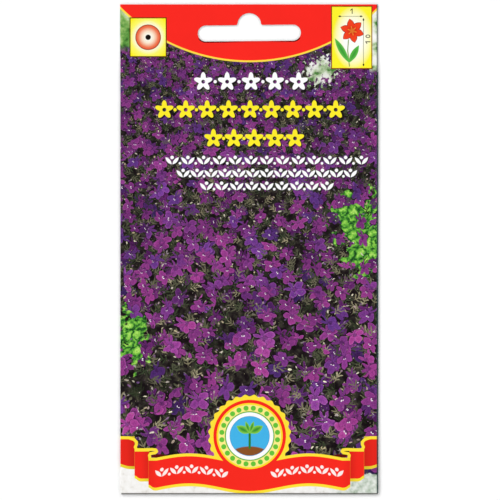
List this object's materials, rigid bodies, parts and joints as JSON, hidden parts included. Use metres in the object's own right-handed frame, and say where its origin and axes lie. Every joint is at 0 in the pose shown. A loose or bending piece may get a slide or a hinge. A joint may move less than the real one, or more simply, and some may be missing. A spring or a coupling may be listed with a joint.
{
  "type": "flower seed packet",
  "caption": "Flat paper seed packet with a printed picture of violet lobelia, a red header with a punched hang slot, glued shut round a small inner sachet of fine seed.",
  "frame": {"origin": "middle of the underside, where the packet's back rests on a surface", "axes": "+X to the right of the printed front, +Y up the packet to the header with the hang slot, +Z out of the printed front"},
  "size_m": [0.08, 0.152, 0.0019],
  "materials": {
    "printed_paper": "coated paper, printed in full colour, satin gloss, white on the inside",
    "glue": "dried paper glue, cream",
    "sachet_paper": "thin glazed white paper, slightly see-through",
    "seed": "dull brown fine grains"
  },
  "bodies": {
    "root": {"envelope": "printed_paper", "side_seam_glue": "glue", "bottom_flap_glue": "glue", "header_glue_lower": "glue", "header_glue_upper": "glue", "sachet_back_film": "sachet_paper", "sachet_front_film": "sachet_paper", "seed_heap": "seed"}
  },
  "joints": []
}
